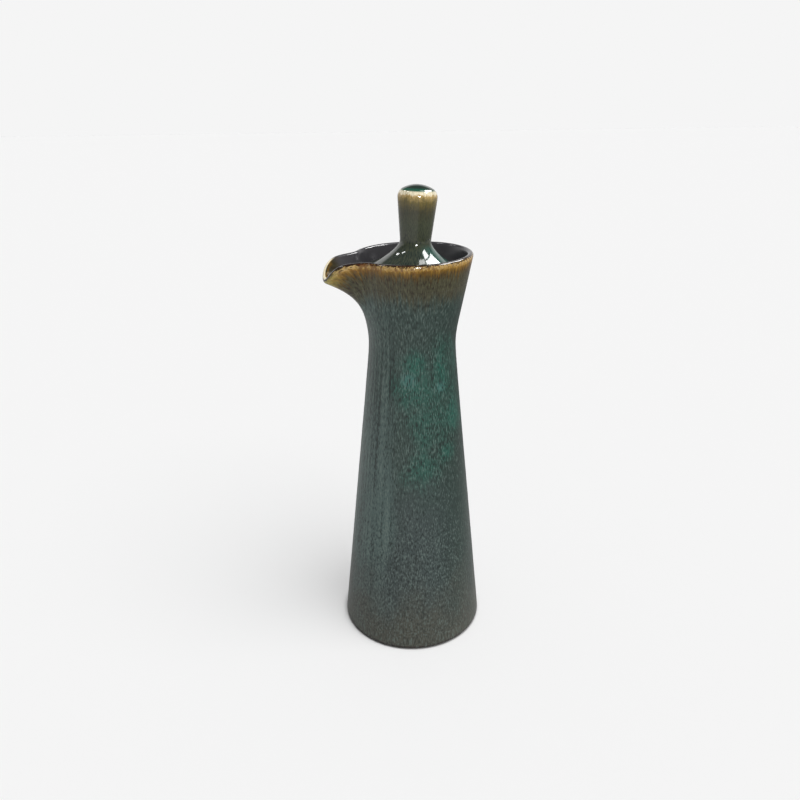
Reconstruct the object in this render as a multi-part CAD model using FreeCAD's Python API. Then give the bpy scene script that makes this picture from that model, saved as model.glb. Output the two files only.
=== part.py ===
"""Oil dispenser of glazed stoneware: a tall cone with a waisted neck, a flared mouth that is pulled
into a pouring spout, and a loose stopper with a tall knob that stands in the mouth.

Millimetres, +Z up. The origin is the centre of the foot, on the surface that the bottle stands on.
The spout points along -X, and the plane Y = 0 cuts everything into two equal halves."""

import FreeCAD, Part
import math
import os

from FreeCAD import Vector

# ---------------------------------------------------------------- bottle: outline of the outside
MOUTH_HEIGHT = 189.2          # top of the lip at the sides
NECK_HEIGHT = 151.2           # where the cone's slope meets the mouth's slope
NECK_RADIUS = 19.15           # radius at which those two slopes would meet
NECK_SOFTNESS = 4.3           # how gently one slope turns into the other
CONE_SLOPE = 0.105            # radius lost for each millimetre of height below the neck
MOUTH_SLOPE = 0.203           # radius gained for each millimetre of height above the neck
FOOT_ROUNDING = 1.5
RECESS_RADIUS = 29.0          # shallow hollow under the bottle, inside the foot ring
RECESS_DEPTH = 1.5

# ---------------------------------------------------------------- bottle: clay wall
LIP_THICKNESS = 2.8           # the wall ends in a half-round lip of this thickness
WALL_THICKNESS = 4.0          # full thickness, reached WALL_TAPER below the lip
WALL_TAPER = 50.0
FLOOR_HEIGHT = 6.0            # the inside floor, above the table
FLOOR_CORNER = 8.0            # radius between the inside wall and the inside floor

# ---------------------------------------------------------------- bottle: spout
SPOUT_START = 156.5           # height at which the wall begins to swell towards the spout
SPOUT_REACH = 13.0            # how far the lip is pulled out beyond the round mouth
SPOUT_GROWTH = 3.0            # power with which the reach grows with height
SPOUT_HALF_ANGLE = (18.0, 19.2)      # degrees each side of the spout's middle: low down, at the lip
SPOUT_FLATNESS = (2.6, 3.3)          # power of the spout's plan: low down, at the lip
TIP_DROP = 7.3                # how far the lip dips at the tip, so that oil runs over one point
TIP_HALF_ANGLE = 10.9
TIP_FLATNESS = 2.9
TIP_GROWTH = 1.4              # power with which the dip grows with height
MOUTH_TILT = 0.024            # the mouth falls by this much for each millimetre towards the spout

# ---------------------------------------------------------------- stopper, along its own axis
KNOB_TOP = 217.7
CROWN_RADIUS = 13.5           # low dome on top of the knob
SHOULDER_RADIUS = 4.2         # rounding between the dome and the stem
STEM_TOP = (8.45, 211.3)      # radius and height of the straight tapered stem, at its widest ...
STEM_LOW = (6.75, 194.6)      # ... and at its thinnest, just above the bell
BELL_OUTLINE = ((8.35, 190.9), (14.6, 186.1))    # radius, height down the bell
FLANGE_RADIUS = 21.15
FLANGE_TOP = 183.2            # height at which the bell meets the flange's rounded edge
FLANGE_THICKNESS = 2.6
FLANGE_SLOPE = 0.42           # fall of the bell for each millimetre outwards, at the flange
SEAT_CENTRE = 163.0           # centre of the ball-shaped seat, about which the stopper leans
SEAT_GAP = 0.03               # clearance between the seat and the throat of the bottle
SEAT_HALF_HEIGHT = 5.5        # the ball-shaped band reaches this far above and below its centre
PLUG_END_ROUNDING = 3.0
STOPPER_LEAN = 2.75           # degrees away from the spout, until the flange meets the wall

# ---------------------------------------------------------------- the bottle's surface
RING_POINTS = 72
SPOUT_CROWDING = 0.6          # 0 spaces a ring's points evenly; towards 1 they crowd at the spout
WALL_HEIGHTS = (5, 12, 30, 60, 90, 115, 130, 138, 144, 149, 154, 159, 164, 168, 172, 176, 180, 184)
ROUNDING_TURNS = (0, 30, 60, 90)
STEP = 0.01                   # small step that gives the slopes of the wall

LIP_HALF = LIP_THICKNESS / 2
WALL_TOP = MOUTH_HEIGHT - LIP_HALF


def share(height, start, end):
    """How far a height lies between two others, from 0 to 1."""
    return min(max((height - start) / (end - start), 0.0), 1.0)


def blend(pair, amount):
    return pair[0] + (pair[1] - pair[0]) * amount


def swell(angle, half_angle, flatness):
    """1 at the spout's middle, falling to 0 on both sides."""
    return math.exp(-((abs(angle) / math.radians(half_angle)) ** flatness))


def outer_radius(height):
    """Radius of the round bottle: two straight slopes joined by a soft waist."""
    above = height - NECK_HEIGHT
    mean_slope = (MOUTH_SLOPE - CONE_SLOPE) / 2
    turn = (MOUTH_SLOPE + CONE_SLOPE) / 2
    return NECK_RADIUS + mean_slope * above + turn * math.hypot(above, NECK_SOFTNESS)


def half_wall(height):
    thicker = 1 - share(height, WALL_TOP - WALL_TAPER, WALL_TOP)
    return LIP_HALF + (WALL_THICKNESS - LIP_THICKNESS) / 2 * thicker


def level_point(angle, radius, height):
    """Point at a radius and height. The angle is measured from the spout."""
    return Vector(-radius * math.cos(angle), radius * math.sin(angle), height)


def wall_middle(angle, height):
    """Point in the middle of the clay wall, with the spout pulled out and its tip dipped."""
    pull = share(height, SPOUT_START, WALL_TOP)
    half_angle = blend(SPOUT_HALF_ANGLE, pull)
    flatness = blend(SPOUT_FLATNESS, pull)
    reach = SPOUT_REACH * pull ** SPOUT_GROWTH * swell(angle, half_angle, flatness)
    radius = outer_radius(height) - half_wall(height) + reach
    dip = TIP_DROP * pull ** TIP_GROWTH * swell(angle, TIP_HALF_ANGLE, TIP_FLATNESS)
    tilt = MOUTH_TILT * pull * radius * math.cos(angle)
    return level_point(angle, radius, height - dip - tilt)


def wall_point(angle, height, turn):
    """Point on the wall's surface: turn is 0 outside, 90 on top of the lip and 180 inside."""
    up = (wall_middle(angle, height) - wall_middle(angle, height - STEP)).normalize()
    along = wall_middle(angle + STEP, height) - wall_middle(angle - STEP, height)
    outward = along.cross(up).normalize()
    if outward.dot(level_point(angle, 1, 0)) < 0:
        outward = outward * -1
    turn = math.radians(turn)
    offset = outward * math.cos(turn) + up * math.sin(turn)
    return wall_middle(angle, height) + offset * half_wall(height)


def foot_point(angle, turn):
    """Point on the rounding at the foot: turn is 0 on the table and 90 on the wall."""
    turn = math.radians(turn)
    radius = outer_radius(FOOT_ROUNDING) - FOOT_ROUNDING * (1 - math.sin(turn))
    return level_point(angle, radius, FOOT_ROUNDING * (1 - math.cos(turn)))


def floor_corner_point(angle, turn):
    """Point on the rounding at the inside floor: turn is 0 on the wall and 90 on the floor."""
    turn = math.radians(turn)
    height = FLOOR_HEIGHT + FLOOR_CORNER
    radius = outer_radius(height) - WALL_THICKNESS - FLOOR_CORNER * (1 - math.cos(turn))
    return level_point(angle, radius, height - FLOOR_CORNER * math.sin(turn))


def ring(point_at, *place):
    """Closed smooth curve through points all round the bottle, closer together at the spout."""
    steps = [2 * math.pi * k / RING_POINTS - math.pi for k in range(RING_POINTS)]
    points = [point_at(step - SPOUT_CROWDING * math.sin(step), *place) for step in steps]
    curve = Part.BSplineCurve()
    curve.interpolate(Points=points, PeriodicFlag=True, Parameters=list(range(RING_POINTS + 1)))
    return curve


def bottle_rings():
    """Rings from the foot up the outside, over the lip and down the inside to the floor."""
    floor_corner_top = FLOOR_HEIGHT + FLOOR_CORNER
    foot = [ring(foot_point, turn) for turn in ROUNDING_TURNS]
    outside = [ring(wall_point, height, 0) for height in WALL_HEIGHTS]
    lip = [ring(wall_point, WALL_TOP, turn) for turn in range(0, 181, 30)]
    inside = [ring(wall_point, height, 180) for height in reversed(WALL_HEIGHTS) if height > floor_corner_top]
    corner = [ring(floor_corner_point, turn) for turn in ROUNDING_TURNS]
    return foot + outside + lip + inside + corner


def skin(rings):
    """Smooth surface that follows the rings, closed round the bottle."""
    poles = [curve.getPoles() for curve in rings]
    inner_knots = len(rings) - 4
    across_mults = [4] + [1] * inner_knots + [4]
    surface = Part.BSplineSurface()
    surface.buildFromPolesMultsKnots(
        [list(column) for column in zip(*poles)],
        rings[0].getMultiplicities(), across_mults,
        rings[0].getKnots(), list(range(inner_knots + 2)),
        True, False, 3, 3)
    return surface


def bottle():
    surface = skin(bottle_rings())
    _, _, foot_end, floor_end = surface.bounds()
    caps = [Part.Face(Part.Wire([surface.vIso(end).toShape()])) for end in (foot_end, floor_end)]
    body = Part.Solid(Part.makeShell([surface.toShape()] + caps))
    return body.cut(Part.makeCylinder(RECESS_RADIUS, RECESS_DEPTH))


def at(radius, height):
    """Point in the stopper's outline."""
    return Vector(radius, 0, height)


def line(start, end):
    return Part.LineSegment(start, end).toShape()


def arc_about(centre, start, end):
    """The shorter arc from start to end."""
    middle = (start - centre).normalize() + (end - centre).normalize()
    middle = centre + middle.normalize() * (start - centre).Length
    return Part.Arc(start, middle, end).toShape()


def knob_outline():
    """From the top of the dome down the stem and the bell to the flange."""
    crown_centre = at(0, KNOB_TOP - CROWN_RADIUS)
    stem_top, stem_low = at(*STEM_TOP), at(*STEM_LOW)
    down = (stem_low - stem_top).normalize()
    square = Vector(-down.z, 0, down.x)
    # the shoulder's centre is one shoulder radius inside the stem, and inside the dome as well
    start = stem_top - square * SHOULDER_RADIUS - crown_centre
    reach = CROWN_RADIUS - SHOULDER_RADIUS
    along = start.dot(down)
    slide = -along - math.sqrt(along ** 2 - start.dot(start) + reach ** 2)
    shoulder_centre = crown_centre + start + down * slide
    crown_end = crown_centre + (shoulder_centre - crown_centre).normalize() * CROWN_RADIUS
    shoulder_end = shoulder_centre + square * SHOULDER_RADIUS
    bell = Part.BSplineCurve()
    flange_edge = at(FLANGE_RADIUS - FLANGE_THICKNESS / 2, FLANGE_TOP)
    bell.interpolate(
        Points=[stem_low] + [at(*place) for place in BELL_OUTLINE] + [flange_edge],
        InitialTangent=down, FinalTangent=Vector(1, 0, -FLANGE_SLOPE))
    return [
        arc_about(crown_centre, at(0, KNOB_TOP), crown_end),
        arc_about(shoulder_centre, crown_end, shoulder_end),
        line(shoulder_end, stem_low),
        bell.toShape(),
    ]


def plug_outline(seat_radius):
    """From the flange's rounded edge down the plug and its seat to the axis, and up the axis."""
    flange_middle = at(FLANGE_RADIUS - FLANGE_THICKNESS / 2, FLANGE_TOP - FLANGE_THICKNESS / 2)
    up = at(0, FLANGE_THICKNESS / 2)
    out = at(FLANGE_THICKNESS / 2, 0)
    flange_bottom = flange_middle - up
    seat_centre = at(0, SEAT_CENTRE)
    seat_edge = math.sqrt(seat_radius ** 2 - SEAT_HALF_HEIGHT ** 2)
    seat_high = at(seat_edge, SEAT_CENTRE + SEAT_HALF_HEIGHT)
    seat_low = at(seat_edge, SEAT_CENTRE - SEAT_HALF_HEIGHT)
    plug_high = at(seat_edge, flange_bottom.z)
    end_centre = seat_low - at(PLUG_END_ROUNDING, 0)
    plug_end = end_centre - at(0, PLUG_END_ROUNDING)
    axis_low = at(0, plug_end.z)
    return [
        arc_about(flange_middle, flange_middle + up, flange_middle + out),
        arc_about(flange_middle, flange_middle + out, flange_bottom),
        line(flange_bottom, plug_high),
        line(plug_high, seat_high),
        arc_about(seat_centre, seat_high, seat_low),
        arc_about(end_centre, seat_low, plug_end),
        line(plug_end, axis_low),
        line(axis_low, at(0, KNOB_TOP)),
    ]


def stopper(standing_in):
    """The stopper is turned on its own axis and leans back about the centre of its seat."""
    seat_centre = Part.Vertex(0, 0, SEAT_CENTRE)
    seat_radius = seat_centre.distToShape(standing_in)[0] - SEAT_GAP
    outline = Part.Wire(knob_outline() + plug_outline(seat_radius))
    turned = Part.Face(outline).revolve(Vector(0, 0, 0), Vector(0, 0, 1), 360)
    turned.rotate(Vector(0, 0, SEAT_CENTRE), Vector(0, 1, 0), STOPPER_LEAN)
    return turned


def report(name, solid):
    box = solid.BoundBox
    print("%s: valid %s, %d faces, %.1f cm3" % (name, solid.isValid(), len(solid.Faces), solid.Volume / 1000))
    print("  x %.1f..%.1f  y %.1f..%.1f  z %.1f..%.1f" % (
        box.XMin, box.XMax, box.YMin, box.YMax, box.ZMin, box.ZMax))


def main():
    os.makedirs("parts", exist_ok=True)
    bottle_body = bottle()
    solids = {"bottle_body": bottle_body, "stopper": stopper(bottle_body)}
    for name, shape in solids.items():
        solid = shape.Solids[0]
        report(name, solid)
        solid.exportStep("parts/" + name + ".step")
    gap = bottle_body.distToShape(solids["stopper"])[0]
    overlap = bottle_body.common(solids["stopper"]).Volume
    print("between them: gap %.3f mm, overlap %.3f mm3" % (gap, overlap))


main()
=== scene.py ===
"""Glazed stoneware oil dispenser with a loose knobbed stopper, on a plain pale floor.

The bottle is thrown as a round body, ring by ring, and its spout is then pulled out of the lip.
The stopper is turned as a round body and leans in the mouth. Both wear a reactive glaze that breaks
to amber and brown where it runs thin over an edge."""

import functools
import math

import bpy
from bpy.props import FloatProperty, FloatVectorProperty, PointerProperty
from mathutils import Matrix, Vector


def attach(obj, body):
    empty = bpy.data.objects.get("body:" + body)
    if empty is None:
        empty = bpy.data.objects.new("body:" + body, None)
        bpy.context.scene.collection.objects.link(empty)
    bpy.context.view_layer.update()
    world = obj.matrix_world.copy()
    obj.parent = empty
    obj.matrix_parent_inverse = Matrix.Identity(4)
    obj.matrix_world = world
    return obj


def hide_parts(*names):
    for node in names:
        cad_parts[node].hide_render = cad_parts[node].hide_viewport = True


bl_info = {
    "name": "Stoneware Oil Dispenser",
    "version": (1, 0, 0),
    "blender": (4, 5, 0),
    "location": "3D View > Sidebar > Oil Dispenser",
    "description": "Models a glazed stoneware oil bottle with a pulled spout and its stopper",
    "category": "Object",
}

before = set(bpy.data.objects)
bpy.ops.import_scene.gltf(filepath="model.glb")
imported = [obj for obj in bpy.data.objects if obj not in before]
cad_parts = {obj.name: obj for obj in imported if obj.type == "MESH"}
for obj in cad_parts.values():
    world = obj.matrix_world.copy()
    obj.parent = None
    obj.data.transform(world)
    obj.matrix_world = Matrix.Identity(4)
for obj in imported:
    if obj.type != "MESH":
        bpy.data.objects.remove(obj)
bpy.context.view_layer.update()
MM = 0.001


# -------------------------------------------------- settings

def length(name, millimetres, description):
    return FloatProperty(name=name, default=millimetres * MM, unit="LENGTH", precision=4,
                         description=description)


def ratio(name, value, description):
    return FloatProperty(name=name, default=value, description=description)


def degrees(name, value, description):
    return FloatProperty(name=name, default=math.radians(value), subtype="ANGLE",
                         description=description)


def srgb(red, green, blue):
    """A colour as it looks on screen, from 0 to 255, as the linear values that shaders take."""
    return tuple((c / 255 / 12.92) if c <= 10 else ((c / 255 + 0.055) / 1.055) ** 2.4
                 for c in (red, green, blue))


def colour(name, red, green, blue, description):
    return FloatVectorProperty(name=name, size=3, subtype="COLOR", min=0.0, max=1.0,
                               default=srgb(red, green, blue), description=description)


class BottleSizes(bpy.types.PropertyGroup):
    """Outline of the round bottle, before the spout is pulled."""
    mouth_height: length("Mouth height", 189.2, "Top of the lip at the sides")
    neck_height: length("Neck height", 151.2, "Where the cone meets the flare of the mouth")
    neck_radius: length("Neck radius", 19.15, "Radius at which the two slopes would meet")
    neck_softness: length("Neck softness", 4.3, "How gently the two slopes meet")
    cone_slope: ratio("Cone slope", 0.105, "Radius lost per height below the neck")
    mouth_slope: ratio("Mouth slope", 0.203, "Radius gained per height above the neck")
    lip_thickness: length("Lip thickness", 2.8, "Thickness of the half-round lip")
    wall_thickness: length("Wall thickness", 4.0, "Full thickness of the clay wall")
    wall_taper: length("Wall taper", 50.0, "Height below the lip over which the wall thins")
    floor_height: length("Floor height", 6.0, "Inside floor above the table")
    floor_corner: length("Floor corner", 8.0, "Radius between the inside wall and the floor")
    foot_rounding: length("Foot rounding", 1.5, "Rounding of the outer edge of the foot")
    recess_radius: length("Recess radius", 29.0, "Shallow hollow inside the foot ring")
    recess_depth: length("Recess depth", 1.5, "Depth of that hollow")
    waviness: length("Waviness", 0.16, "Unevenness of the hand-thrown wall")
    waviness_grain: length("Waviness grain", 22.0, "Width of one wave")


class SpoutSizes(bpy.types.PropertyGroup):
    """How far and how wide the lip is pulled out along -X."""
    start: length("Start", 156.5, "Height at which the wall begins to swell")
    reach: length("Reach", 13.0, "How far the lip is pulled beyond the round mouth")
    growth: ratio("Growth", 3.0, "Power with which the reach grows with height")
    low_half_angle: degrees("Low half angle", 18.0, "Half width low down")
    lip_half_angle: degrees("Lip half angle", 19.2, "Half width at the lip")
    low_flatness: ratio("Low flatness", 2.6, "Power of the plan low down")
    lip_flatness: ratio("Lip flatness", 3.3, "Power of the plan at the lip")
    tip_drop: length("Tip drop", 7.3, "How far the lip dips at the tip")
    tip_half_angle: degrees("Tip half angle", 10.9, "Half width of the dip")
    tip_flatness: ratio("Tip flatness", 2.9, "Power of the dip's width")
    tip_growth: ratio("Tip growth", 1.4, "Power with which the dip grows with height")
    mouth_tilt: ratio("Mouth tilt", 0.024, "Fall of the mouth for each unit towards the spout")


class StopperSizes(bpy.types.PropertyGroup):
    """Outline of the stopper along its own axis."""
    knob_top: length("Knob top", 217.7, "Top of the knob, before the stopper leans")
    crown_radius: length("Crown radius", 13.5, "Low dome on top of the knob")
    shoulder_radius: length("Shoulder radius", 4.2, "Rounding between the dome and the stem")
    stem_top_radius: length("Stem top radius", 8.45, "Widest place of the stem")
    stem_top_height: length("Stem top height", 211.3, "Height of that place")
    stem_low_radius: length("Stem low radius", 6.75, "Thinnest place of the stem")
    stem_low_height: length("Stem low height", 194.6, "Height of that place")
    bell_upper_pull: length("Bell upper pull", 3.3, "Length of the bell curve's handle at the stem")
    bell_lower_pull: length("Bell lower pull", 7.2, "Length of its handle at the flange")
    flange_radius: length("Flange radius", 21.15, "Widest place of the stopper")
    flange_top: length("Flange top", 183.2, "Height at which the bell meets the flange's edge")
    flange_thickness: length("Flange thickness", 2.6, "Its edge is half round")
    flange_slope: ratio("Flange slope", 0.42, "Fall of the bell outwards, at the flange")
    seat_centre: length("Seat centre", 163.0, "Centre of the ball-shaped seat, about which it leans")
    seat_radius: length("Seat radius", 17.75, "Ball that rests in the throat")
    seat_half_height: length("Seat half height", 5.5, "Reach of the ball-shaped band, up and down")
    plug_end_rounding: length("Plug end rounding", 3.0, "Rounding under the plug")
    lean: degrees("Lean", 2.75, "Away from the spout, until the flange meets the wall")
    waviness: length("Waviness", 0.05, "Unevenness of the turned surface")
    waviness_grain: length("Waviness grain", 12.0, "Width of one wave")


class GlazeColours(bpy.types.PropertyGroup):
    """Colours of the reactive glaze and the clay; some of them also paint shade, a dark reflection and
    highlights.
    """
    slate: colour("Slate", 56, 74, 68, "Grey-green of the bottle's wall")
    mist: colour("Mist", 63, 74, 73, "Bluer grey of its lower half")
    fir: colour("Fir", 30, 52, 44, "Darker green away from the spout, and on top of the knob")
    ash: colour("Ash", 76, 95, 91, "Greyer glaze beside the spout")
    slate_light: colour("Light slate", 100, 116, 110, "Pale threads in the wall's glaze")
    slate_dark: colour("Dark slate", 26, 38, 36, "Dark threads and specks in the wall's glaze")
    teal: colour("Teal", 30, 92, 78, "Where the copper in the glaze shows")
    dusk: colour("Dusk", 74, 74, 65, "Brown-grey towards the foot")
    moss: colour("Moss", 72, 70, 50, "Brown-green where the lip's glaze runs out")
    thatch: colour("Thatch", 96, 94, 70, "Pale threads in the brown-green")
    umber: colour("Umber", 84, 66, 32, "Brown below the amber lip")
    umber_dark: colour("Dark umber", 46, 34, 22, "Dark threads in the brown")
    rust: colour("Rust", 130, 96, 32, "Where the amber thickens")
    russet: colour("Russet", 96, 50, 22, "Red-brown flecks in the amber")
    amber: colour("Amber", 176, 136, 62, "Thin glaze over the lip")
    cream: colour("Cream", 208, 176, 118, "Thinner glaze, on an outer edge")
    # this pale colour also paints a highlight along the knob's edge and inside the spout's tip
    ivory_and_painted_highlight: colour("Ivory", 253, 241, 208, "Thinnest glaze, on the knob's edge and in the spout's tip")
    wheat: colour("Wheat", 162, 140, 84, "Between the knob's pale edge and its olive amber")
    honey: colour("Honey", 118, 104, 56, "Olive amber below the knob's edge")
    # this dark colour also paints the shade along the foot's bottom edge
    crest_line_and_foot_shade: colour("Lip line", 44, 28, 22, "Dark line on the lip's crest and at the foot")
    straw: colour("Straw", 148, 140, 70, "Olive yellow at the spout's tip")
    ink: colour("Ink", 72, 71, 74, "Dark glaze inside, near-black in its own shade")
    olive: colour("Olive", 72, 78, 58, "The stopper's stem")
    # on the dome this colour paints a dark reflection on the back right, beside the window's highlight
    bottle_green: colour("Bottle green", 58, 67, 58, "The stopper's bell, and a pool on its dome")
    lagoon: colour("Lagoon", 62, 112, 104, "Bright copper tint")
    emerald: colour("Emerald", 36, 96, 77, "Edge of the knob's dome")
    clay: colour("Clay", 122, 104, 84, "Bare clay of the foot ring")


class StudioSettings(bpy.types.PropertyGroup):
    """Camera, lamps and floor."""
    azimuth: degrees("Azimuth", -18.0, "Where the camera stands round the bottle")
    distance: length("Distance", 305.7, "From the bottle's axis, level")
    camera_height: length("Camera height", 249.9, "Above the table")
    pitch: degrees("Pitch", 23.13, "How far the camera looks down")
    lens: FloatProperty(name="Lens", default=31.55, description="Focal length in millimetres")
    shift: ratio("Shift", -0.01525, "Sideways shift of the lens")
    backdrop: ratio("Backdrop", 0.913, "Brightness of the background")
    sky: ratio("Sky", 0.36, "Even light from all round")
    sun: ratio("Sun", 2.29, "Main light, from the front right")
    sun_azimuth: degrees("Sun azimuth", 35.0, "Where the main light comes from")
    sun_elevation: degrees("Sun elevation", 60.0, "Its height above the horizon")
    sun_spread: degrees("Sun spread", 50.0, "Width of the main light, for a soft shadow")
    floor_tint: ratio("Floor tint", 0.927, "How much light the floor sends back")
    floor_glow: ratio("Floor glow", 0.45, "Share of the floor's brightness that no shadow takes away")
    floor_near: ratio("Floor near", 0.48, "Dimming of the floor in the glaze, close by")
    floor_left: ratio("Floor left", 0.66, "The same, further off on the left")
    floor_right: ratio("Floor right", 0.24, "The same, further off on the right")
    floor_far: ratio("Floor far", 0.50, "The same, far away")
    room: ratio("Room", 0.20, "Brightness of the room that glossy glaze reflects")
    ceiling: ratio("Ceiling", 0.10, "The same, high up")
    room_behind: ratio("Room behind", 0.85, "The same, low down behind the bottle")


def settings():
    return bpy.context.scene.oil_dispenser


# -------------------------------------------------- outlines

def blend(low, high, amount):
    return low + (high - low) * amount


def share(value, start, end):
    """How far a value lies between two others, from 0 to 1."""
    return min(max((value - start) / (end - start), 0.0), 1.0)


def arc(centre, radius, start, end, steps):
    """(radius, height) places along an arc in the outline's plane, from start to end degrees."""
    turns = [math.radians(blend(start, end, k / steps)) for k in range(steps + 1)]
    return [(centre[0] + radius * math.cos(t), centre[1] + radius * math.sin(t)) for t in turns]


def straight(start, end, steps):
    """(radius, height) places along a straight line, without its first one."""
    return [(blend(start[0], end[0], k / steps), blend(start[1], end[1], k / steps))
            for k in range(1, steps + 1)]


def outer_radius(height):
    """Radius of the round bottle: two straight slopes joined by a soft waist."""
    size = settings().bottle
    above = height - size.neck_height
    mean_slope = (size.mouth_slope - size.cone_slope) / 2
    turn = (size.mouth_slope + size.cone_slope) / 2
    return size.neck_radius + mean_slope * above + turn * math.hypot(above, size.neck_softness)


def wall_top():
    size = settings().bottle
    return size.mouth_height - size.lip_thickness / 2


def half_wall(height):
    size = settings().bottle
    thicker = 1 - share(height, wall_top() - size.wall_taper, wall_top())
    return (size.lip_thickness + (size.wall_thickness - size.lip_thickness) * thicker) / 2


def swell(angle, half_angle, flatness):
    """1 at the spout's middle, falling to 0 on both sides."""
    return math.exp(-((abs(angle) / half_angle) ** flatness))


def wall_middle(angle, height, pulled):
    """Point in the middle of the clay wall. The angle is measured from the spout, which is at -X."""
    size = settings().spout
    pull = share(height, size.start, wall_top()) if pulled else 0.0
    half_angle = blend(size.low_half_angle, size.lip_half_angle, pull)
    flatness = blend(size.low_flatness, size.lip_flatness, pull)
    reach = size.reach * pull ** size.growth * swell(angle, half_angle, flatness)
    radius = outer_radius(height) - half_wall(height) + reach
    dip = size.tip_drop * pull ** size.tip_growth * swell(angle, size.tip_half_angle, size.tip_flatness)
    tilt = size.mouth_tilt * pull * radius * math.cos(angle)
    return Vector((-radius * math.cos(angle), radius * math.sin(angle), height - dip - tilt))


def wall_point(angle, height, turn, pulled):
    """Point on the wall's face: turn is 0 outside, 90 on the lip's crest and 180 inside."""
    step = 0.01 * MM
    swing = 0.001
    middle = wall_middle(angle, height, pulled)
    up = (middle - wall_middle(angle, height - step, pulled)).normalized()
    along = wall_middle(angle + swing, height, pulled) - wall_middle(angle - swing, height, pulled)
    outward = along.cross(up).normalized()
    if outward.x * middle.x + outward.y * middle.y < 0:
        outward.negate()
    turn = math.radians(turn)
    return middle + (outward * math.cos(turn) + up * math.sin(turn)) * half_wall(height)


# -------------------------------------------------- modelling

def clear_selection():
    if bpy.context.object and bpy.context.object.mode != "OBJECT":
        bpy.ops.object.mode_set(mode="OBJECT")
    bpy.ops.object.select_all(action="DESELECT")


def close_pole():
    """Draws the selected ring of edges together into one point."""
    bpy.ops.mesh.extrude_edges_move()
    bpy.ops.mesh.merge(type="CENTER")


def throw_rings(name, outline, points):
    """Raises a closed round body ring by ring through the outline's (radius, height) places."""
    clear_selection()
    radius, height = outline[0]
    bpy.ops.mesh.primitive_circle_add(vertices=points, radius=radius, location=(0, 0, height))
    body = bpy.context.object
    body.name = body.data.name = name
    bpy.ops.object.transform_apply(location=True, rotation=True, scale=True)
    bpy.ops.object.mode_set(mode="EDIT")
    bpy.ops.mesh.select_mode(type="EDGE")
    bpy.ops.mesh.select_all(action="SELECT")
    for next_radius, next_height in outline[1:]:
        rise = (0, 0, next_height - height)
        bpy.ops.mesh.extrude_edges_move(TRANSFORM_OT_translate={"value": rise})
        widen = next_radius / radius
        bpy.ops.transform.resize(value=(widen, widen, 1), center_override=(0, 0, next_height))
        radius, height = next_radius, next_height
    close_pole()
    bpy.ops.mesh.select_all(action="DESELECT")
    bpy.ops.object.mode_set(mode="OBJECT")
    for edge in body.data.edges:
        edge.select = max(edge.vertices) < points
    bpy.ops.object.mode_set(mode="EDIT")
    close_pole()
    bpy.ops.mesh.select_all(action="SELECT")
    bpy.ops.mesh.normals_make_consistent(inside=False)
    bpy.ops.object.mode_set(mode="OBJECT")
    return body


def note_runs(body, outline, points, crest):
    """Stores, for the glaze, where each point was on the round body and how far it is from the crest
    along the outline: more than 0 before the crest, less than 0 after it."""
    mesh = body.data
    steps = [math.dist(a, b) for a, b in zip(outline, outline[1:])]
    runs = [sum(steps[ring:crest]) - sum(steps[crest:ring]) for ring in range(len(outline))]
    # the pole after the last ring comes first, then the one before the first ring
    run_of = [runs[k // points] for k in range(points * len(outline))] + [runs[-1], runs[0]]
    mesh.attributes.new("turned", "FLOAT_VECTOR", "POINT")
    mesh.attributes.new("run", "FLOAT", "POINT")
    places = [c for vertex in mesh.vertices for c in vertex.co]
    mesh.attributes["turned"].data.foreach_set("vector", places)
    mesh.attributes["run"].data.foreach_set("value", run_of)


def finish_surface(body, size):
    """Smooths the rings and gives the surface the slight waviness of hand-thrown ware."""
    smooth = body.modifiers.new("smooth", "SUBSURF")
    smooth.levels = smooth.render_levels = 1
    smooth.boundary_smooth = "ALL"
    clouds = bpy.data.textures.new(body.name + "_waviness", "CLOUDS")
    clouds.noise_scale = size.waviness_grain
    clouds.noise_depth = 1
    wave = body.modifiers.new("waviness", "DISPLACE")
    wave.texture = clouds
    wave.texture_coords = "LOCAL"
    wave.strength = size.waviness
    wave.mid_level = 0.5
    bpy.context.view_layer.objects.active = body
    body.select_set(True)
    for modifier in list(body.modifiers):
        bpy.ops.object.modifier_apply(modifier=modifier.name)
    bpy.ops.object.shade_smooth()


# -------------------------------------------------- bottle

RING_POINTS = 144
LIP_TURNS = (0, 22, 45, 68, 90, 112, 135, 158, 180)


def wall_heights():
    """Heights of the rings up the wall: far apart on the cone, close at the neck and the spout."""
    cone = (settings().bottle.foot_rounding + 3 * MM, 12 * MM, 11)
    neck = (136 * MM, 4 * MM, 5)
    spout = (156 * MM, 2.7 * MM, 12)
    heights = []
    for first, spacing, rings in (cone, neck, spout):
        heights += [first + spacing * k for k in range(rings)]
    return [height for height in heights if height < wall_top() - MM]


def bottle_rings():
    """(radius, height, wall place) of each ring, from under the foot over the lip to the floor.
    The wall place is (height, turn) on the wall that the spout is pulled from, or None."""
    size = settings().bottle
    rounding = size.foot_rounding
    foot_radius = outer_radius(rounding)
    edge = 0.4 * MM
    recess, depth = size.recess_radius, size.recess_depth
    under = [(recess * part, depth) for part in (0.12, 0.5, 0.9)] + [(recess - edge, depth)]
    under += [(recess, depth - edge), (recess, edge), (recess + edge, 0.0)]
    under += arc((foot_radius - rounding, rounding), rounding, -90, 0, 4)
    rings = [(radius, height, None) for radius, height in under]
    corner_height = size.floor_height + size.floor_corner
    places = [(height, 0) for height in wall_heights()]
    places += [(wall_top(), turn) for turn in LIP_TURNS]
    lowest = corner_height + 2 * MM
    places += [(height, 180) for height in reversed(wall_heights()) if height > lowest]
    for height, turn in places:
        point = wall_point(math.pi / 2, height, turn, False)
        rings.append((point.y, point.z, (height, turn)))
    corner_x = outer_radius(corner_height) - size.wall_thickness - size.floor_corner
    corner = arc((corner_x, corner_height), size.floor_corner, 0, -90, 6)
    floor = [(corner_x * part, size.floor_height) for part in (0.7, 0.35, 0.1)]
    return rings + [(radius, height, None) for radius, height in corner + floor]


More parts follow.
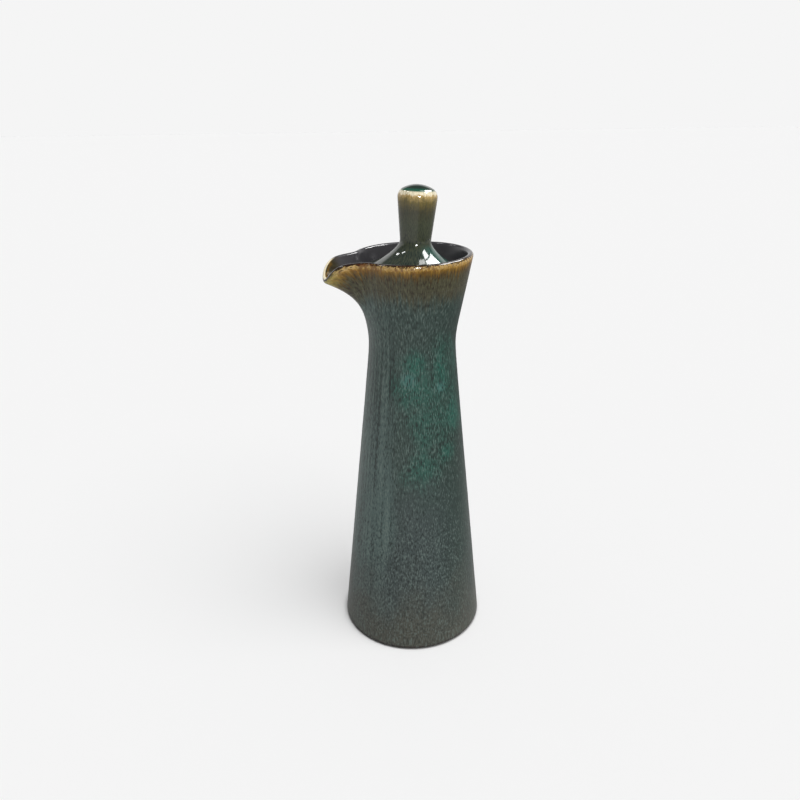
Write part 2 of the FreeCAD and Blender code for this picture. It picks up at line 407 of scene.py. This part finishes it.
def pull_spout(body, rings):
    """Moves the wall's rings above the spout's start to where the potter's finger pulls them."""
    start = settings().spout.start
    for ring, (_, _, place) in enumerate(rings):
        if place is None or place[0] < start:
            continue
        for vertex in body.data.vertices[ring * RING_POINTS:(ring + 1) * RING_POINTS]:
            angle = math.atan2(vertex.co.y, -vertex.co.x)
            vertex.co = wall_point(angle, place[0], place[1], True)


class OBJECT_OT_oil_bottle(bpy.types.Operator):
    """Throw the bottle, pull its spout and glaze it"""
    bl_idname = "object.oil_bottle"
    bl_label = "Bottle"

    def execute(self, context):
        rings = bottle_rings()
        outline = [ring[:2] for ring in rings]
        body = throw_rings("bottle_thrown", outline, RING_POINTS)
        crest = next(k for k, ring in enumerate(rings) if ring[2] == (wall_top(), 90))
        note_runs(body, outline, RING_POINTS, crest)
        pull_spout(body, rings)
        finish_surface(body, settings().bottle)
        body.data.materials.append(bottle_glaze())
        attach(body, "root")
        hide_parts("bottle_body")
        return {"FINISHED"}


# -------------------------------------------------- stopper

STOPPER_POINTS = 72


def stem_ends(size):
    """Widest and thinnest places of the stem, and the way down from one to the other."""
    top = Vector((size.stem_top_radius, size.stem_top_height))
    low = Vector((size.stem_low_radius, size.stem_low_height))
    return top, low, (low - top).normalized()


def knob_outline(size):
    """Dome, shoulder and stem."""
    stem_top, stem_low, down = stem_ends(size)
    crown_centre = Vector((0, size.knob_top - size.crown_radius))
    square = Vector((-down.y, down.x))
    # the shoulder's centre is one shoulder radius inside the stem, and inside the dome as well
    start = stem_top - square * size.shoulder_radius - crown_centre
    reach = size.crown_radius - size.shoulder_radius
    along = start.dot(down)
    slide = -along - math.sqrt(along ** 2 - start.length_squared + reach ** 2)
    shoulder_centre = crown_centre + start + down * slide
    crown_end = math.degrees(math.atan2(*reversed(shoulder_centre - crown_centre)))
    shoulder_end = math.degrees(math.atan2(square.y, square.x))
    crown = arc(crown_centre, size.crown_radius, 88, crown_end, 5)
    shoulder = arc(shoulder_centre, size.shoulder_radius, crown_end, shoulder_end, 7)[1:]
    return crown + shoulder + straight(shoulder[-1], stem_low, 7)


def bell_outline(size):
    """The bell, a curve with a handle at each end, and the half-round edge of its flange."""
    _, stem_low, down = stem_ends(size)
    half_edge = size.flange_thickness / 2
    flange = Vector((size.flange_radius - half_edge, size.flange_top))
    outward = Vector((1, -size.flange_slope)).normalized()
    upper = stem_low + down * size.bell_upper_pull
    lower = flange - outward * size.bell_lower_pull
    steps = 12
    bell = []
    for k in range(1, steps + 1):
        t = k / steps
        place = (stem_low * (1 - t) ** 3 + upper * 3 * (1 - t) ** 2 * t
                 + lower * 3 * (1 - t) * t ** 2 + flange * t ** 3)
        bell.append(tuple(place))
    return bell + arc((flange.x, flange.y - half_edge), half_edge, 65, -90, 6)


def plug_outline(size, start):
    """Underside of the flange, from its edge, and the plug with its ball-shaped seat."""
    seat_edge = math.sqrt(size.seat_radius ** 2 - size.seat_half_height ** 2)
    fillet = 1.2 * MM
    underside = straight(start, (seat_edge + fillet, start[1]), 2)
    plug_top = (seat_edge, start[1] - fillet)
    side = [plug_top] + straight(plug_top, (seat_edge, size.seat_centre + size.seat_half_height), 3)
    swing = math.degrees(math.asin(size.seat_half_height / size.seat_radius))
    seat = arc((0, size.seat_centre), size.seat_radius, swing, -swing, 6)[1:]
    end_centre = (seat_edge - size.plug_end_rounding, size.seat_centre - size.seat_half_height)
    end = arc(end_centre, size.plug_end_rounding, 0, -90, 5)[1:]
    base = [(end_centre[0] * part, end[-1][1]) for part in (0.6, 0.25)]
    return underside + side + seat + end + base


def stopper_outline():
    """(radius, height) places from the top of the knob to the middle of the plug's underside."""
    size = settings().stopper
    top = knob_outline(size) + bell_outline(size)
    return top + plug_outline(size, top[-1])


class OBJECT_OT_oil_stopper(bpy.types.Operator):
    """Turn the stopper, glaze it and lean it in the mouth"""
    bl_idname = "object.oil_stopper"
    bl_label = "Stopper"

    def execute(self, context):
        size = settings().stopper
        outline = stopper_outline()
        body = throw_rings("stopper_turned", outline, STOPPER_POINTS)
        note_runs(body, outline, STOPPER_POINTS, 0)
        finish_surface(body, size)
        seat = Vector((0, 0, size.seat_centre))
        lean = Matrix.Rotation(size.lean, 4, "Y")
        body.data.transform(Matrix.Translation(seat) @ lean @ Matrix.Translation(-seat))
        body.data.materials.append(stopper_glaze())
        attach(body, "root")
        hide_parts("stopper")
        return {"FINISHED"}


# -------------------------------------------------- shader nodes

def add_node(tree, kind, inputs=None, **options):
    """Adds a node, sets its options, and gives its inputs either values or other nodes' outputs."""
    node = tree.nodes.new(kind)
    for name, value in options.items():
        setattr(node, name, value)
    for name, value in (inputs or {}).items():
        if isinstance(value, bpy.types.NodeSocket):
            tree.links.new(value, node.inputs[name])
        else:
            node.inputs[name].default_value = value
    return node


def math_node(tree, operation, *values, clamp=False):
    inputs = dict(enumerate(values))
    return add_node(tree, "ShaderNodeMath", inputs, operation=operation, use_clamp=clamp).outputs[0]


def axes(tree, vector):
    return add_node(tree, "ShaderNodeSeparateXYZ", {"Vector": vector}).outputs


def vector_node(tree, operation, *values):
    inputs = dict(enumerate(values))
    return add_node(tree, "ShaderNodeVectorMath", inputs, operation=operation).outputs


def chain(tree, operation, values):
    return functools.reduce(lambda first, second: math_node(tree, operation, first, second), values)


def product(tree, *values):
    return chain(tree, "MULTIPLY", values)


def total(tree, *values):
    return chain(tree, "ADD", values)


def fade(tree, value, start, end, low=0.0, high=1.0):
    """Smooth step of a value from low at start to high at end."""
    inputs = {"Value": value, "From Min": start, "From Max": end, "To Min": low, "To Max": high}
    node = add_node(tree, "ShaderNodeMapRange", inputs, interpolation_type="SMOOTHSTEP", clamp=True)
    return node.outputs["Result"]


def mix_colour(tree, mask, first, second):
    node = tree.nodes.new("ShaderNodeMix")
    node.data_type = "RGBA"
    # the colour sockets of a Mix node are its seventh and eighth
    for index, value in ((0, mask), (6, first), (7, second)):
        if isinstance(value, bpy.types.NodeSocket):
            tree.links.new(value, node.inputs[index])
        else:
            node.inputs[index].default_value = value if index == 0 else (*value, 1.0)
    return node.outputs[2]


def layered(tree, base, *layers):
    """The base colour under (mask, colour) layers, one over the other."""
    for mask, tint in layers:
        base = mix_colour(tree, mask, base, tint)
    return base


def blend_values(tree, mask, first, second):
    return add_node(tree, "ShaderNodeMix", {0: mask, 2: first, 3: second}).outputs[0]


def colour_bands(tree, value, bands):
    """Colour ramp through (value, name of a glaze colour) bands, from 0 to the last band's value."""
    length = bands[-1][0]
    node = add_node(tree, "ShaderNodeValToRGB", {"Fac": math_node(tree, "DIVIDE", value, length)})
    elements = node.color_ramp.elements
    while len(elements) < len(bands):
        elements.new(1.0)
    for element, (place, name) in zip(elements, bands):
        element.position = place / length
        element.color = (*getattr(settings().glaze, name), 1.0)
    return node.outputs["Color"]


def attribute(tree, name):
    return add_node(tree, "ShaderNodeAttribute", attribute_name=name).outputs


def noise(tree, vector, scale, detail=2.0, roughness=0.5, stretch=(1.0, 1.0, 1.0)):
    """Noise with features about 1/scale metres across, stretched along the axes."""
    size = tuple(scale * s for s in stretch)
    spread = add_node(tree, "ShaderNodeMapping", {"Vector": vector, "Scale": size})
    inputs = {"Vector": spread.outputs[0], "Scale": 1.0, "Detail": detail, "Roughness": roughness}
    return add_node(tree, "ShaderNodeTexNoise", inputs).outputs["Fac"]


def from_axis(tree, place):
    """Level way from the axis to a place, 1 long."""
    return vector_node(tree, "NORMALIZE", vector_node(tree, "MULTIPLY", place, (1, 1, 0))[0])[0]


# scale, detail and stretch of each kind of mark's noise: a small last number makes long marks
MARKS = {
    "Threads": (1700, 1.5, (1, 1, 0.30)),
    "Specks": (1600, 1.0, (1, 1, 0.42)),
    "Drips": (1250, 1.0, (1, 1, 0.07)),
    "Streaks": (480, 3.0, (1, 1, 0.025)),
    "Drift": (70, 2.0, (1, 1, 0.6)),
}


def thread_group():
    """Vertical threads and specks that a reactive glaze draws as it runs down.

    Its outputs are noise values round 0.5, one for each kind of mark."""
    name = "glaze threads"
    if name in bpy.data.node_groups:
        return bpy.data.node_groups[name]
    group = bpy.data.node_groups.new(name, "ShaderNodeTree")
    group.interface.new_socket("Vector", in_out="INPUT", socket_type="NodeSocketVector")
    for mark in MARKS:
        group.interface.new_socket(mark, in_out="OUTPUT", socket_type="NodeSocketFloat")
    vector = group.nodes.new("NodeGroupInput").outputs["Vector"]
    out = group.nodes.new("NodeGroupOutput").inputs
    # unrolled: a fixed radius, so that a thread keeps to its own line down the cone
    upright = vector_node(group, "MULTIPLY", vector, (0, 0, 1))[0]
    radius = (30 * MM,) * 3
    unrolled = vector_node(group, "MULTIPLY_ADD", from_axis(group, vector), radius, upright)[0]
    for mark, (scale, detail, stretch) in MARKS.items():
        group.links.new(noise(group, unrolled, scale, detail, 0.5, stretch), out[mark])
    return group


def threads(tree, vector):
    node = add_node(tree, "ShaderNodeGroup", node_tree=thread_group())
    tree.links.new(vector, node.inputs["Vector"])
    return node.outputs


def centred(tree, value, gain):
    """Turns a noise value round 0.5 into one round 0."""
    return product(tree, math_node(tree, "SUBTRACT", value, 0.5), gain)


def new_material(name):
    material = bpy.data.materials.new(name)
    material.use_nodes = True
    tree = material.node_tree
    return material, tree, tree.nodes["Principled BSDF"]


def millimetres(tree, value):
    return product(tree, value, 1 / MM)


def near(tree, place, centre, radius):
    """1 at a centre, falling to 0 at a radius from it, both in millimetres."""
    apart = vector_node(tree, "DISTANCE", place, tuple(c * MM for c in centre))["Value"]
    return fade(tree, apart, radius * MM, 0.0)


def near_any(tree, place, spots):
    return chain(tree, "MAXIMUM", [near(tree, place, centre, radius) for centre, radius in spots])


def facing(tree, place, azimuth, start, end, low=0.0, high=1.0):
    """Low to high as a place's way from the axis turns towards an azimuth, between two cosines."""
    way = (math.sin(math.radians(azimuth)), -math.cos(math.radians(azimuth)), 0)
    cosine = vector_node(tree, "DOT_PRODUCT", from_axis(tree, place), way)["Value"]
    return fade(tree, cosine, start, end, low, high)


def fleck_tone(tree, fleck):
    """-0.85 in the darkest threads, 0.75 in the palest, with soft steps between them."""
    pale = fade(tree, fleck, 0.50, 0.72, 0.0, 0.75)
    return total(tree, pale, fade(tree, fleck, 0.50, 0.30, 0.0, -0.85))


def flecked(tree, base, tone, dark, pale, pale_share=1.0):
    """The base colour, darker where the tone is under 0 and paler where it is over 0."""
    return layered(tree, base, (math_node(tree, "MULTIPLY", tone, -1.0, clamp=True), dark),
                   (math_node(tree, "MULTIPLY", tone, pale_share, clamp=True), pale))


# -------------------------------------------------- glazes
#
# Heights, runs and radii in the glazes are in millimetres. A run follows the outline: on the
# bottle it is more than 0 below the crest of the lip outside, and less than 0 inside.

# run below the crest at which each colour of the lip stands
LIP_BANDS = (
    (0.0, "crest_line_and_foot_shade"), (0.72, "crest_line_and_foot_shade"), (1.08, "umber"), (1.56, "cream"), (2.58, "amber"),
    (3.6, "rust"), (5.7, "umber"), (8.7, "moss"), (15.0, "moss"), (22.5, "slate"), (30.0, "slate"),
)
# way down from the top of the knob at which each colour of the stopper stands
# the ivory band is partly a painted highlight along the knob's pale edge
KNOB_BANDS = (
    (0.0, "fir"), (4.95, "fir"), (6.525, "emerald"), (7.11, "emerald"), (7.83, "ivory_and_painted_highlight"),
    (8.82, "ivory_and_painted_highlight"), (9.54, "cream"), (10.44, "wheat"), (11.925, "honey"), (16.2, "moss"),
    (21.6, "olive"), (27.9, "olive"), (33.3, "bottle_green"), (45.0, "bottle_green"),
)
# centre and radius of each place where copper shows in the wall, and of the brightest ones
COPPER_PATCHES = (
    ((7.0, -20.5, 139.0), 26.0), ((-8.5, -19.5, 134.0), 15.0), ((-4.8, -19.3, 144.0), 14.0),
    ((1.2, -21.4, 130.0), 18.0), ((-6.5, -20.6, 129.0), 15.0), ((1.0, -23.0, 117.0), 25.0),
    ((-3.0, -24.5, 94.0), 17.0), ((15.0, -17.0, 118.0), 18.0), ((9.5, -22.2, 101.0), 11.0),
)
BRIGHT_COPPER = (((-7.8, -19.0, 137.2), 7.2), ((6.8, -19.8, 133.0), 5.2))
FLUSHED_LIP = ((-22.5, -13.5, 187.0), 9.0)      # centre and radius of the reddest part of the lip
SPOUT_TIP = ((-38.5, 0.0, 177.5), 15.0)         # of the yellow outside of the tip
SPOUT_PINCH = ((-38.5, 4.5, 182.5), 11.5)       # and of the olive inside of it

# azimuths round the ware, in degrees, 0 at the front
STREAKED_SIDE = -82
GREEN_SIDE = 75
# side of the dome's painted dark reflection
DOME_DARK_REFLECTION_SIDE = 150
BELL_COPPER_SIDE = 62
# roughness of the stopper, the bottle's lip and its wall
GLOSSY = 0.08
LIP_GLOSSY = 0.07
SATIN = 0.34


def drips(tree, turned, run, thread):
    """The run, shifted where the lip's glaze drips down, and crumbled just below the crest."""
    drip = total(tree, centred(tree, thread["Drips"], 12.0), centred(tree, thread["Drift"], 9.0))
    crumbs = centred(tree, noise(tree, turned, 1500, 2.0, 0.6), 4.6)
    return total(tree, run, product(tree, drip, fade(tree, run, 0.6, 9.0)),
                 product(tree, crumbs, fade(tree, run, 4.5, 2.0), fade(tree, run, 0.0, 0.8)))


def lip_colours(tree, place, turned, run, dripped):
    """The glaze runs thin over the lip: dark line, cream, amber and rust, with red-brown flecks."""
    lip = colour_bands(tree, dripped, LIP_BANDS)
    fleck = noise(tree, turned, 650, 2.0, 0.6, (1, 1, 0.6))
    fleck = total(tree, fleck, product(tree, near(tree, place, *FLUSHED_LIP), 0.14))
    fleck = product(tree, fade(tree, fleck, 0.50, 0.64), fade(tree, dripped, 6.0, 1.5),
                    fade(tree, run, 0.3, 0.9, 0.0, 0.7))
    return mix_colour(tree, fleck, lip, settings().glaze.russet)


def tip_yellow(tree, place, run, thread):
    """How far the lip turns olive yellow round the spout's tip."""
    tip = product(tree, near(tree, place, *SPOUT_TIP), fade(tree, run, 8.0, 1.0),
                  fade(tree, run, 0.5, 1.1), fade(tree, thread["Specks"], 0.36, 0.56, 0.45, 1.0))
    return math_node(tree, "MULTIPLY", tip, 1.6, clamp=True)


def beside_spout(tree, turned, run, thread):
    """Ragged mask of the streaked side under the spout, narrower low on the wall."""
    side = total(tree, facing(tree, turned, STREAKED_SIDE, 0.5, 0.95),
                 centred(tree, thread["Drift"], 1.2), fade(tree, run, 120.0, 165.0, 0.0, -0.6))
    return product(tree, fade(tree, side, 0.15, 0.85), facing(tree, turned, STREAKED_SIDE, 0.5, 0.7))


def wall_colours(tree, place, height, thread, beside):
    """Slate, greener away from the spout and greyer beside it, browner at the foot, with a painted dark
    line of shade along the foot's bottom edge, and copper where it gathers."""
    glaze = settings().glaze
    uneven = total(tree, height, centred(tree, thread["Drift"], 50.0))
    ashen = product(tree, beside, fade(tree, uneven, 145.0, 105.0, 0.25, 1.0))
    gathered = near_any(tree, place, COPPER_PATCHES)
    ragged = total(tree, gathered, centred(tree, thread["Drift"], 1.9),
                   centred(tree, thread["Threads"], 2.2))
    copper = product(tree, fade(tree, ragged, 0.2, 1.5), fade(tree, gathered, 0.0, 0.35))
    bright = total(tree, near_any(tree, place, BRIGHT_COPPER), centred(tree, thread["Threads"], 2.0))
    return layered(
        tree, glaze.slate,
        (fade(tree, uneven, 105.0, 60.0), glaze.mist),
        (facing(tree, place, GREEN_SIDE, 0.1, 1.0), glaze.fir),
        (ashen, glaze.ash),
        (fade(tree, uneven, 50.0, 0.0), glaze.dusk),
        # painted shade: a dark line along the foot's bottom edge
        (fade(tree, height, 2.2, 0.9), glaze.crest_line_and_foot_shade),
        (copper, glaze.teal),
        (fade(tree, bright, 0.25, 1.1), glaze.lagoon))


def wall_flecks(tree, height, thread, beside):
    """Threads, with short specks lower down and long soft streaks beside the spout, round 0.5."""
    fleck = blend_values(tree, fade(tree, height, 105.0, 45.0), thread["Threads"], thread["Specks"])
    streak = product(tree, centred(tree, thread["Streaks"], 0.9),
                     fade(tree, height, 175.0, 135.0, 0.25, 1.0))
    return blend_values(tree, beside, fleck, total(tree, fleck, streak))


def fleck_strength(tree, place, run, height):
    """Weaker on the lip, at the foot and on the green side."""
    below_lip = fade(tree, run, 0.8, 9.0, 0.35, 1.0)
    return product(tree, below_lip, fade(tree, height, 0.0, 60.0, 0.7, 1.0),
                   facing(tree, place, GREEN_SIDE, 0.4, 1.0, 1.0, 0.55))


def inside_colours(tree, turned, run, thread, pinch):
    """Near-black, turning to speckled olive with rust just inside the spout's tip."""
    glaze = settings().glaze
    olive = mix_colour(tree, thread["Specks"], glaze.umber_dark, glaze.moss)
    rusty = product(tree, fade(tree, noise(tree, turned, 900, 2.0, 0.6), 0.40, 0.60),
                    fade(tree, run, -3.5, -1.2), pinch)
    return layered(tree, glaze.ink, (fade(tree, pinch, 0.0, 0.5), olive), (rusty, glaze.rust))


def bottle_gloss(tree, surface, run, fleck, bare, dull):
    """Glossy on the lip and inside, satin on the wall, and matt on the bare foot ring."""
    rough = total(tree, fade(tree, run, 1.5, 18.0, LIP_GLOSSY, SATIN), product(tree, bare, 0.4),
                  fade(tree, run, -1.0, -3.0, 0.0, 0.14))
    tree.links.new(rough, surface.inputs["Roughness"])
    tree.links.new(math_node(tree, "SUBTRACT", 0.5, dull), surface.inputs["Specular IOR Level"])
    surface.inputs["IOR"].default_value = 1.5
    relief = product(tree, fleck, fade(tree, run, 3.0, 14.0))
    bump = add_node(tree, "ShaderNodeBump", {"Height": relief, "Strength": 0.5, "Distance": 0.3 * MM})
    tree.links.new(bump.outputs["Normal"], surface.inputs["Normal"])


def bottle_glaze():
    glaze = settings().glaze
    material, tree, surface = new_material("reactive glaze")
    turned = attribute(tree, "turned")["Vector"]
    run = millimetres(tree, attribute(tree, "run")["Fac"])
    place = add_node(tree, "ShaderNodeTexCoord").outputs["Object"]
    height = millimetres(tree, axes(tree, place)["Z"])
    thread = threads(tree, turned)

    beside = beside_spout(tree, turned, run, thread)
    dripped = drips(tree, turned, run, thread)
    lip = lip_colours(tree, place, turned, run, dripped)
    wall = wall_colours(tree, place, height, thread, beside)
    base = layered(tree, lip, (fade(tree, dripped, 13.0, 24.0), wall),
                   (tip_yellow(tree, place, run, thread), glaze.straw))

    fleck = wall_flecks(tree, height, thread, beside)
    tone = product(tree, fleck_tone(tree, fleck), fleck_strength(tree, place, run, height))
    below = fade(tree, dripped, 11.0, 22.0)
    dark = mix_colour(tree, below, glaze.umber_dark, glaze.slate_dark)
    pale = mix_colour(tree, below, glaze.thatch, glaze.slate_light)
    base = flecked(tree, base, tone, dark, pale)

    inside = fade(tree, run, 0.1, -0.5)
    pinch = near(tree, place, *SPOUT_PINCH)
    inner = inside_colours(tree, turned, run, thread, pinch)
    # pale line just inside the spout's tip, partly a painted highlight
    crest = product(tree, fade(tree, run, -1.6, -1.1), fade(tree, run, 0.1, -0.2),
                    fade(tree, pinch, 0.1, 0.5))
    bare = fade(tree, height, 0.4, 0.1)
    base = layered(tree, base, (inside, inner), (crest, glaze.ivory_and_painted_highlight), (bare, glaze.clay))
    tree.links.new(base, surface.inputs["Base Color"])
    # the inside of the spout's tip mirrors less
    dull = product(tree, inside, fade(tree, pinch, 0.0, 0.6, 0.0, 0.42))
    bottle_gloss(tree, surface, run, fleck, bare, dull)
    return material


def stopper_glaze():
    glaze = settings().glaze
    material, tree, surface = new_material("dark green glaze")
    turned = attribute(tree, "turned")["Vector"]
    run = millimetres(tree, attribute(tree, "run")["Fac"])
    down = product(tree, run, -1.0)
    thread = threads(tree, turned)

    # the bands keep their edges on the dome, and drip and mottle below it
    drip = total(tree, centred(tree, thread["Threads"], 2.6), centred(tree, thread["Drift"], 5.0))
    mottle = centred(tree, noise(tree, turned, 520, 3.0, 0.7), 5.0)
    dripped = total(tree, down, product(tree, drip, fade(tree, down, 8.6, 15.0)),
                    product(tree, mottle, fade(tree, down, 7.6, 9.5)))
    # painted reflection: a dark patch on the dome's back right
    dome_dark_reflection = product(tree, facing(tree, turned, DOME_DARK_REFLECTION_SIDE, -0.9, -0.35, 0.0, 0.9),
                   fade(tree, down, 1.0, 4.0), fade(tree, down, 7.6, 6.5))
    copper = product(tree, facing(tree, turned, BELL_COPPER_SIDE, 0.3, 0.9, 0.0, 0.8),
                     fade(tree, down, 29.0, 33.0))
    shade = fade(tree, thread["Streaks"], 0.55, 0.35, 0.0, 0.3)
    base = layered(tree, colour_bands(tree, dripped, KNOB_BANDS), (dome_dark_reflection, glaze.bottle_green),
                   (copper, glaze.lagoon), (shade, glaze.bottle_green))
    tone = product(tree, fleck_tone(tree, thread["Specks"]), fade(tree, down, 10.0, 30.0, 0.2, 1.0))
    base = flecked(tree, base, tone, glaze.slate_dark, glaze.thatch, pale_share=0.75)
    tree.links.new(base, surface.inputs["Base Color"])
    surface.inputs["Roughness"].default_value = GLOSSY
    surface.inputs["IOR"].default_value = 1.6
    return material


# -------------------------------------------------- stage

FLOOR_WIDTH = 12.0
FLOOR_GAP = 0.2 * MM    # the floor lies this far below the foot


def floor_material():
    """Pale floor with a share of glow, so that the shadow stays light except right at the foot, round
    which a thin ring of shadow is painted.
    The glaze sees it dimmer, so that it keeps its depth near the table."""
    studio = settings().studio
    material, tree, surface = new_material("pale floor")
    place = add_node(tree, "ShaderNodeTexCoord").outputs["Object"]
    side = axes(tree, place)["X"]
    distance = vector_node(tree, "LENGTH", place)["Value"]
    foot = outer_radius(0.0)
    glow = fade(tree, distance, foot - MM, foot + 3 * MM, 0.0, studio.floor_glow)
    # painted shadow: the floor darkens in a thin ring round the foot, where it meets the table
    painted_contact_shadow = fade(tree, distance, foot - 0.8 * MM, foot + 0.4 * MM, 0.35, 1.0)
    reflected = fade(tree, side, 0.05, -0.20, studio.floor_right, studio.floor_left)
    reflected = blend_values(tree, fade(tree, distance, 0.40, 0.10), reflected, studio.floor_near)
    reflected = blend_values(tree, fade(tree, distance, 0.55, 1.10), reflected, studio.floor_far)
    in_glaze = add_node(tree, "ShaderNodeLightPath").outputs["Is Glossy Ray"]
    dimming = blend_values(tree, in_glaze, painted_contact_shadow, reflected)
    lit = product(tree, math_node(tree, "SUBTRACT", 1.0, glow), dimming)
    shine = product(tree, glow, dimming)
    tint = mix_colour(tree, lit, (0, 0, 0), (studio.floor_tint,) * 3)
    glowing = mix_colour(tree, shine, (0, 0, 0), (studio.backdrop,) * 3)
    tree.links.new(tint, surface.inputs["Base Color"])
    tree.links.new(glowing, surface.inputs["Emission Color"])
    surface.inputs["Emission Strength"].default_value = 1.0
    surface.inputs["Roughness"].default_value = 0.9
    surface.inputs["Specular IOR Level"].default_value = 0.0
    return material


def put(name, data, place):
    thing = bpy.data.objects.new(name, data)
    bpy.context.collection.objects.link(thing)
    thing.location = place
    return thing


def aim(thing, target):
    thing.rotation_euler = (Vector(target) - thing.location).to_track_quat("-Z", "Y").to_euler()


def add_area_light(name, place, target, width, height, radiance):
    """A soft box that shows in the glaze but adds no light to matt surfaces."""
    data = bpy.data.lights.new(name, "AREA")
    data.shape = "RECTANGLE"
    data.size, data.size_y = width, height
    # an area light's power is its radiance times pi times its area
    data.energy = radiance * math.pi * width * height
    light = put(name, data, place)
    aim(light, target)
    light.visible_diffuse = False
    light.visible_camera = False


# place, target, width, height and radiance of each lamp that shows in the glaze: a tall window in two
# parts on the right, a skylight, two narrow panes on the left and a small lamp near the camera
LAMPS = {
    "window_front": ((0.60, -0.16, 1.135), (0, -0.16, 1.135), 0.42, 0.51, 16.0),
    "window_back": ((0.60, 0.275, 1.03), (0, 0.275, 1.03), 0.33, 0.72, 16.0),
    "skylight": ((0.28, 0.065, 1.0), (0.28, 0.065, 0), 0.18, 0.13, 7.0),
    "left_front": ((-0.46, 0.26, 1.0), (-0.46, 0.26, 0), 0.05, 0.22, 18.0),
    "left_back": ((-0.46, 0.74, 1.0), (-0.46, 0.74, 0), 0.05, 0.26, 18.0),
    "near_lamp": ((-0.041, -0.300, 0.330), (0, 0, 0.2), 0.06, 0.06, 70.0),
}


class OBJECT_OT_oil_stage(bpy.types.Operator):
    """Add the floor, the lamps and the camera"""
    bl_idname = "object.oil_stage"
    bl_label = "Stage"

    def execute(self, context):
        clear_selection()
        bpy.ops.mesh.primitive_plane_add(size=FLOOR_WIDTH, location=(0, 0, -FLOOR_GAP))
        floor = context.object
        floor.name = "floor"
        floor.data.materials.append(floor_material())
        self.light_world(context)
        self.hang_sun()
        for name, lamp in LAMPS.items():
            add_area_light(name, *lamp)
        self.place_camera(context)
        context.scene.view_settings.view_transform = "Standard"
        return {"FINISHED"}

    def light_world(self, context):
        """Even light from all round. The camera sees a plain backdrop, and the glaze a dim room that
        is brighter behind the bottle."""
        studio = settings().studio
        world = bpy.data.worlds.new("studio")
        context.scene.world = world
        world.use_nodes = True
        tree = world.node_tree
        lit = tree.nodes["Background"]
        lit.inputs["Color"].default_value = (1, 1, 1, 1)
        lit.inputs["Strength"].default_value = studio.sky
        rays = add_node(tree, "ShaderNodeLightPath").outputs
        way = axes(tree, add_node(tree, "ShaderNodeTexCoord").outputs["Generated"])
        behind = product(tree, fade(tree, way["Y"], 0.1, 0.7), fade(tree, way["Z"], 0.52, 0.40))
        ceiling = fade(tree, way["Z"], 0.25, 0.50, studio.room, studio.ceiling)
        strength = blend_values(tree, behind, ceiling, studio.room_behind)
        room = add_node(tree, "ShaderNodeBackground", {"Color": (1, 1, 1, 1), "Strength": strength})
        shown = add_node(tree, "ShaderNodeBackground",
                         {"Color": (1, 1, 1, 1), "Strength": studio.backdrop})
        for ray, seen in (("Is Glossy Ray", room), ("Is Camera Ray", shown)):
            shaders = {0: rays[ray], 1: lit.outputs[0], 2: seen.outputs[0]}
            lit = add_node(tree, "ShaderNodeMixShader", shaders)
        tree.links.new(lit.outputs[0], tree.nodes["World Output"].inputs["Surface"])

    def hang_sun(self):
        studio = settings().studio
        data = bpy.data.lights.new("sun", "SUN")
        data.energy = studio.sun
        data.angle = studio.sun_spread
        azimuth, level = studio.sun_azimuth, math.cos(studio.sun_elevation)
        sun = put("sun", data, (level * math.sin(azimuth), -level * math.cos(azimuth),
                                math.sin(studio.sun_elevation)))
        aim(sun, (0, 0, 0))
        sun.visible_glossy = False

    def place_camera(self, context):
        studio = settings().studio
        data = bpy.data.cameras.new("camera")
        data.lens = studio.lens
        data.sensor_width = 36.0
        data.shift_x = studio.shift
        data.clip_start = 0.01
        azimuth, distance = studio.azimuth, studio.distance
        camera = put("camera", data, (distance * math.sin(azimuth), -distance * math.cos(azimuth),
                                      studio.camera_height))
        camera.rotation_euler = (math.pi / 2 - studio.pitch, 0, azimuth)
        context.scene.camera = camera


# -------------------------------------------------- add-on

OPERATORS = (OBJECT_OT_oil_bottle, OBJECT_OT_oil_stopper, OBJECT_OT_oil_stage)


class OilDispenserSettings(bpy.types.PropertyGroup):
    """Everything that a user would change."""
    bottle: PointerProperty(type=BottleSizes)
    spout: PointerProperty(type=SpoutSizes)
    stopper: PointerProperty(type=StopperSizes)
    glaze: PointerProperty(type=GlazeColours)
    studio: PointerProperty(type=StudioSettings)


class VIEW3D_PT_oil_dispenser(bpy.types.Panel):
    """Buttons and settings in the 3D view's sidebar"""
    bl_idname = "VIEW3D_PT_oil_dispenser"
    bl_label = "Oil Dispenser"
    bl_space_type = "VIEW_3D"
    bl_region_type = "UI"
    bl_category = "Oil Dispenser"

    def draw(self, context):
        layout = self.layout
        for operator in OPERATORS:
            layout.operator(operator.bl_idname)
        for group in ("bottle", "spout", "stopper", "glaze", "studio"):
            box = layout.box()
            box.label(text=group.capitalize())
            values = getattr(context.scene.oil_dispenser, group)
            for name in values.__annotations__:
                box.prop(values, name)


CLASSES = (
    BottleSizes, SpoutSizes, StopperSizes, GlazeColours, StudioSettings, OilDispenserSettings,
    *OPERATORS, VIEW3D_PT_oil_dispenser,
)


def register():
    for item in CLASSES:
        bpy.utils.register_class(item)
    bpy.types.Scene.oil_dispenser = PointerProperty(type=OilDispenserSettings)


def unregister():
    del bpy.types.Scene.oil_dispenser
    for item in reversed(CLASSES):
        bpy.utils.unregister_class(item)


def main():
    register()
    bpy.ops.object.oil_bottle()
    bpy.ops.object.oil_stopper()
    bpy.ops.object.oil_stage()


if __name__ == "__main__":
    main()
